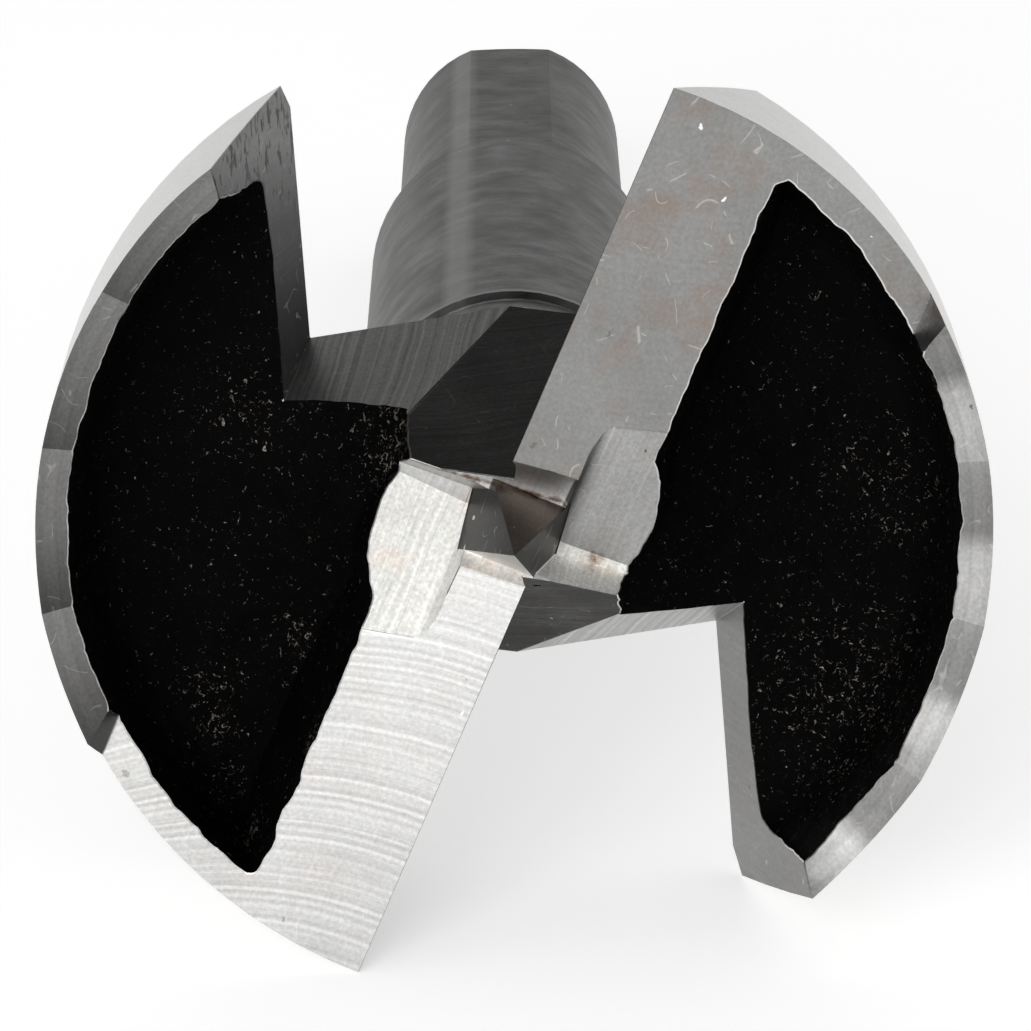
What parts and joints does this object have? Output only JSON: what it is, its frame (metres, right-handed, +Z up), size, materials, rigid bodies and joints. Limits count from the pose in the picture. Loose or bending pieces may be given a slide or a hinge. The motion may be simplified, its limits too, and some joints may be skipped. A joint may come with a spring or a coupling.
{
  "type": "forstner bit",
  "caption": "Forstner drill bit with a wave-ground rim, raked cutters with chip gullets, a four-sided centre point and a stepped shank with driving flats.",
  "frame": {"origin": "middle of the bit's footprint on the surface that it lies on", "axes": "+Z up; the bit lies with its cutting face towards -Y and its shank towards +Y, sloping down to the shank's end by 7.6 degrees; +X to the right of the face"},
  "size_m": [0.035, 0.0896, 0.0327],
  "materials": {
    "steel": "ground cutting faces, black forged recesses and a satin turned shank"
  },
  "bodies": {
    "root": {"forstner_bit": "steel"}
  },
  "joints": []
}
